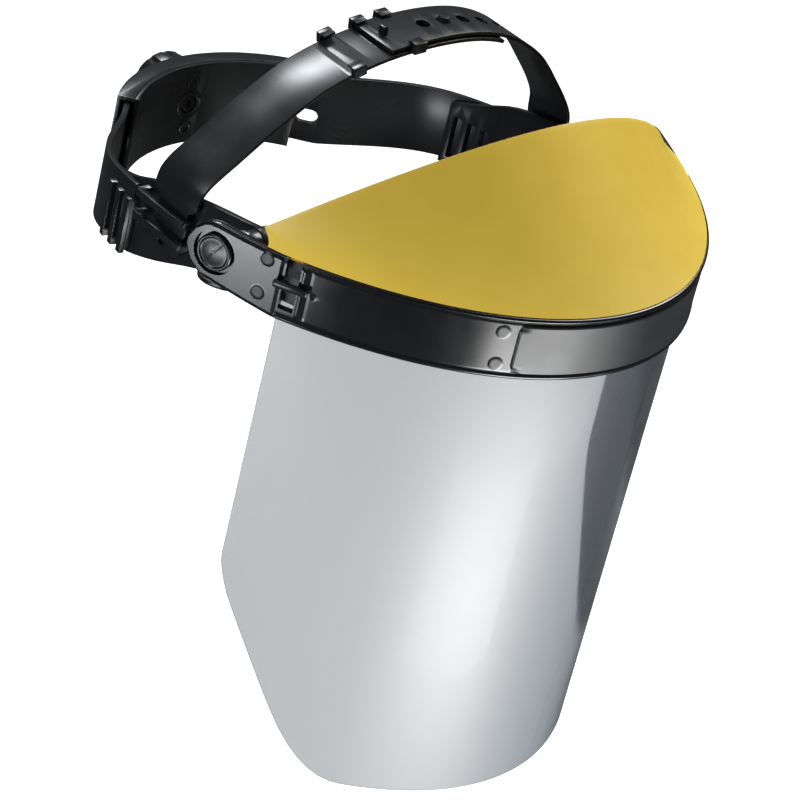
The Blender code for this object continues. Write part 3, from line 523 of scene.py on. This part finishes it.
def make_band():
    stations = band_stations()
    sections = [band_section(s) for s in stations]
    rows = len(sections[0])
    bm = close_up(loft(len(stations), rows, lambda i, j: on_band(
        stations[i], *sections[i][j])))
    cuts, joins = [], []
    for _, sign in SIDES:
        joins.append(rod((sign * HUB_START, 0, 0), (sign * HUB_END, 0, 0), HUB_RADIUS))
        cuts.append(rod((sign * (HUB_START - 0.002), 0, 0), (sign * HUB_DEPTH, 0, 0), HUB_BORE))
        out = band_axes(sign * PIVOT_S)[1]
        face = on_band(sign * PIVOT_S, 0, 0)
        cuts.append(rod(face - out * RECESS_DEPTH, face + out * 0.004, RECESS_RADIUS, 72))
        middle = on_band(sign * SLOT_S, BAND_WALL / 2, 0)
        cuts.append(block(middle, (SLOT_WIDTH, 4 * BAND_WALL, SLOT_HEIGHT),
                          band_axes(sign * SLOT_S)))
    made = piece("visor_band", shape(bm, cuts, joins), BAND_BLACK, "visor", "black_gloss",
                 "visor_frame")
    made.data.materials.append(PANEL_BLACK)
    for face in made.data.polygons:
        s, z, depth = band_place(face.center)
        marked = any(math.hypot(abs(s) - mark_s, z - mark_z) < radius
                     for mark_s, mark_z, radius in PIN_MARKS)
        if depth < 0.0004 and (marked or rounded_plate(s, z, *PANEL) > 0):
            face.material_index = 1
    return made


def make_window():
    bm = solid_copy("visor_window")
    round_edges(bm, 0.0004, 3)
    return piece("clear_window_sheet", bm, CLEAR, "visor", "clear_window", "visor_window")


GUARD_TIP_BACK = 0.0179
GUARD_WALL = 0.0018
ARCH_HALF = PIVOT_HALF_WIDTH - 0.0100
ARCH_BACK = 0.0326
ARCH_FOOT_Y = -0.0103
ARCH_RISE = 0.0394
ARCH_POWER = 1.93
TIP_HEIGHT = 0.0043
SLOPE_UP = 0.36
SLOPE_IN = 0.52


def guard_point(share, row, rows):
    s = share * (PIVOT_S - GUARD_TIP_BACK)
    skirt = BAND_WALL + WINDOW_WALL + 3 * FIT
    ledge = band_edges(s)[1] + FIT
    low = 0.0015 + (ledge - 0.0019) * step_up(abs(s), 0.110, 0.006)
    if row < 3:
        return on_band(s, skirt, low + (ledge - low) * row / 2)
    foot = on_band(s, 0.0007, ledge)
    across = math.sin(share * math.pi / 2)
    rise = 1 - abs(across) ** ARCH_POWER
    top = Vector((ARCH_HALF * across, ARCH_FOOT_Y - ARCH_BACK * rise,
                  BAND_TOP + TIP_HEIGHT + ARCH_RISE * rise))
    height = top.z - foot.z
    slope = foot - band_axes(s)[1] * SLOPE_IN * height + UP * SLOPE_UP * height
    t = (row - 3) / (rows - 4)
    return foot * (1 - t) ** 2 + slope * 2 * t * (1 - t) + top * t**2


def make_guard():
    columns, rows = 161, 40
    bm = loft(columns, rows, lambda i, j: guard_point(-1 + 2 * i / (columns - 1), j, rows))
    made = piece("brow_shell", bm, YELLOW, "visor", "yellow", "brow_guard")
    wall = made.modifiers.new("Wall", "SOLIDIFY")
    wall.thickness = GUARD_WALL
    wall.offset = -1
    wall.use_even_offset = True
    rim = made.modifiers.new("Rim", "BEVEL")
    rim.width = 0.0006
    rim.segments = 3
    rim.limit_method = "ANGLE"
    rim.angle_limit = math.radians(45)
    return made


def make_buttons():
    for side, sign in SIDES:
        along, out, up = band_axes(sign * PIVOT_S)
        floor = on_band(sign * PIVOT_S, RECESS_DEPTH - FIT, 0)
        top = RECESS_DEPTH + 0.0007
        profile = [(0, 0), (BUTTON_RADIUS * 0.98, 0), (BUTTON_RADIUS, 0.0002),
                   (BUTTON_RADIUS, top - 0.0006), (BUTTON_RADIUS - 0.0002, top - 0.0002),
                   (BUTTON_RADIUS - 0.0006, top), (BUTTON_RADIUS - 0.0012, top - 0.0001),
                   (BUTTON_RADIUS - 0.0016, top - 0.0005)]
        profile += [(BUTTON_RADIUS * share, top - 0.0006 + 0.0005 * (1 - share**2 * 1.6))
                    for share in (0.7, 0.6, 0.5, 0.4, 0.3, 0.2, 0.1, 0)]
        bm = turned(profile, floor, out)
        way = (up * 0.86 - along * sign * 0.5).normalized()
        across = out.cross(way)
        middle = floor + out * top
        for vert in bm.verts:
            away = abs((vert.co - middle).dot(across))
            if (vert.co - middle).dot(out) > -0.0009:
                vert.co -= out * 0.0001 * math.exp(-(away / 0.0004) ** 2)
        piece(f"lug_button_{side}", bm, SATIN, "visor", "black_satin", f"pivot_button_{side}")


def make_catches():
    for side, _ in SIDES:
        bm = round_edges(solid_copy(f"window_catch_{side}"), 0.00015)
        piece(f"catch_bar_{side}", bm, SATIN, f"catch_{side}", "black_satin",
              f"window_catch_{side}")


# ---- headgear ----

def make_refined():
    """Pieces whose solid shape is already right get their edges rounded."""
    for node_name, width in (
            ("headband", 0.0003), ("crown_strap_right", 0.0003), ("crown_strap_left", 0.0003),
            ("rear_strap_right", 0.0003), ("rear_strap_left", 0.0003), ("housing_outer", 0.0004),
            ("housing_inner", 0.0003), ("pivot_post_right", 0.0003), ("pivot_post_left", 0.0003)):
        piece(f"{node_name}_skin", round_edges(solid_copy(node_name), width), SATIN, "headgear",
              "black_satin", node_name)


def on_head(distance, outward, z):
    p = HEAD.at(distance, outward)
    return Vector((p.x, p.y, z))


PAD_REACH = 0.0995  # half length round the forehead
PAD_DEPTH = 0.0056
QUILT_SPACING = 0.022
QUILT_DEPTH = 0.16  # as a share of the pad's depth


def make_sweatband():
    """A foam strip in a knitted cover, drawn in along its stitched edges and quilted."""
    low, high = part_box("sweatband")
    half = HEAD.length / 2
    columns, rows = 241, 37
    stations = spread(half - PAD_REACH, half + PAD_REACH, columns)

    def place(i, j):
        s = stations[i]
        y = HEAD.at(s).y
        rise = min(max((y + 0.072) / 0.05, 0), 1)
        top, bottom = 0.0088 - 0.0022 * rise, -0.0152 - 0.0012 * rise
        turn = 2 * math.pi * j / (rows - 1)
        end = min(1, (PAD_REACH - abs(s - half)) / 0.008)
        full = math.sqrt(max(1 - (1 - end) ** 2, 0.02))
        from_line = (s - half) % QUILT_SPACING - QUILT_SPACING / 2
        tuck = 1 - QUILT_DEPTH * math.exp(-(from_line / 0.0016) ** 2)
        c, n = math.cos(turn), math.sin(turn)
        z = (top + bottom) / 2 + (top - bottom) / 2 * math.copysign(abs(n) ** 0.7, n) * full
        deep = PAD_DEPTH * tuck * full
        inset = HEAD_WALL + FIT + deep * (0.5 - 0.5 * math.copysign(abs(c) ** 0.8, c))
        return on_head(s, -inset, z)

    made = piece("sweatband_pad", close_up(loft(columns, rows, place)), KNIT, "headgear", "foam",
                 "sweatband")


RING_HALF_WIDTH = 0.0006
RING_SECTION = ((-1, 0.0004), (-1, -0.0003), (-0.6, -0.0005), (0.6, -0.0005),
                (1, -0.0003), (1, 0.0004), (-1, 0.0004))


def make_rear_marks():
    """The raised ring round the housing's screw and the pin marks above and below it."""
    face = Vector((0, REAR_CENTRE_Y + HOUSING_INNER_RADIUS, KNOB_Z))
    for name, drop, radius in (("screw_ring", 0, 0.0052), ("upper_mark", 0.0095, 0.0022),
                               ("lower_mark", -0.0095, 0.0022)):
        profile = [(radius + RING_HALF_WIDTH * share, height) for share, height in RING_SECTION]
        bm = turned(profile, face + UP * drop, (0, 1, 0), 64)
        piece(name, bm, SATIN, "headgear", "black_satin")


def make_hardware():
    """Small inner pieces keep their solid shapes and take finer materials."""
    for name, look in (("detent_spring", STEEL), ("friction_washer_right", STEEL),
                       ("friction_washer_left", STEEL), ("knob_screw", BLACKED_STEEL),
                       ("pinion", SATIN), ("rack_right", SATIN), ("rack_left", SATIN)):
        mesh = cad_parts[name].data
        mesh.materials.clear()
        mesh.materials.append(look)
    bm = round_edges(solid_copy("adjuster_knob"), 0.0003)
    piece("knob_skin", bm, SATIN, "knob", "black_satin", "adjuster_knob")


# ---- stage ----

FLOOR_SIZE = 12
FLOOR_Z = -0.62


def make_stage():
    bm = bmesh.new()
    bmesh.ops.create_grid(bm, x_segments=1, y_segments=1, size=FLOOR_SIZE)
    bmesh.ops.translate(bm, verts=bm.verts, vec=(0, 0, FLOOR_Z))
    mesh = bpy.data.meshes.new("floor")
    bm.to_mesh(mesh)
    bm.free()
    floor = bpy.data.objects.new("floor", mesh)
    bpy.context.scene.collection.objects.link(floor)
    made, tree, shader = plain_shader("pale_floor")
    tree.links.new(two_tone(tree, object_noise(tree, 3, 2), (0.90, 0.90, 0.90),
                            (0.93, 0.93, 0.93)), shader.inputs["Base Color"])
    shader.inputs["Roughness"].default_value = 0.9
    shader.inputs["Emission Color"].default_value = (1, 1, 1, 1)
    shader.inputs["Emission Strength"].default_value = 0.85
    mesh.materials.append(made)
    floor.visible_diffuse = False
    floor.visible_glossy = False

    world = bpy.data.worlds.new("studio")
    bpy.context.scene.world = world
    world.use_nodes = True
    tree = world.node_tree
    sky = tree.nodes["Background"]
    sky.inputs["Color"].default_value = (0.96, 0.98, 1.0, 1)
    path = node(tree, "ShaderNodeLightPath")
    dim = node(tree, "ShaderNodeMapRange")
    dim.inputs["To Min"].default_value = 0.13
    dim.inputs["To Max"].default_value = 0.06
    tree.links.new(path.outputs["Is Glossy Ray"], dim.inputs["Value"])
    tree.links.new(dim.outputs["Result"], sky.inputs["Strength"])
    bpy.context.scene.view_settings.view_transform = "Standard"


def softbox(name, place, target, size, power, colour=(1, 1, 1)):
    light = bpy.data.lights.new(name, "AREA")
    light.shape = "RECTANGLE"
    light.size, light.size_y = size
    light.energy = power
    light.color = colour
    made = bpy.data.objects.new(name, light)
    bpy.context.scene.collection.objects.link(made)
    made.location = place
    made.rotation_euler = (Vector(target) - Vector(place)).to_track_quat("-Z", "Y").to_euler()
    made.visible_camera = False
    made.visible_transmission = False
    return made


def make_lights():
    softbox("key_right", (0.85, 0.15, 0.85), (0, -0.05, 0.02), (0.60, 0.50), 12)
    softbox("back_top", (0.18, 0.86, 0.98), (-0.03, 0.03, 0.03), (0.50, 0.36), 14,
            (0.92, 0.96, 1.0))
    softbox("left_back", (-0.75, 0.10, 0.60), (-0.06, 0.0, 0.02), (0.40, 0.30), 2.8)
    softbox("window_glare", (-0.04, -0.58, -0.42), (0.0, -0.09, -0.10), (0.40, 0.24), 7)
    softbox("front_low", (0.16, -0.60, -0.28), (0.0, -0.09, 0.0), (0.40, 0.07), 0.9)
    softbox("lug_sheen", (-0.55, -0.02, -0.20), (-0.10, 0.0, 0.0), (0.24, 0.06), 0.95,
            (0.92, 0.96, 1.0))


CAMERA_PLACE = (-0.80784, -0.72742, 0.55199)
CAMERA_TURN, CAMERA_LIFT, CAMERA_ROLL = (math.radians(a) for a in (-48.09, 30.267, 14.188))


def make_camera():
    lens = bpy.data.cameras.new("camera")
    lens.lens = 157.31
    lens.sensor_width = 36
    lens.clip_start = 0.05
    lens.clip_end = 60
    made = bpy.data.objects.new("camera", lens)
    bpy.context.scene.collection.objects.link(made)
    turn, lift, roll = CAMERA_TURN, CAMERA_LIFT, CAMERA_ROLL
    back = Vector((math.sin(turn) * math.cos(lift), -math.cos(turn) * math.cos(lift),
                   math.sin(lift)))
    flat = Vector((math.cos(turn), math.sin(turn), 0))
    steep = back.cross(flat)
    right = flat * math.cos(roll) + steep * math.sin(roll)
    upward = steep * math.cos(roll) - flat * math.sin(roll)
    made.matrix_world = (Matrix.Translation(CAMERA_PLACE)
                         @ Matrix((right, upward, back)).transposed().to_4x4())
    bpy.context.scene.camera = made


make_camera()
make_stage()
make_lights()
make_band()
make_window()
make_guard()
make_buttons()
make_catches()
make_refined()
make_sweatband()
make_rear_marks()
make_hardware()
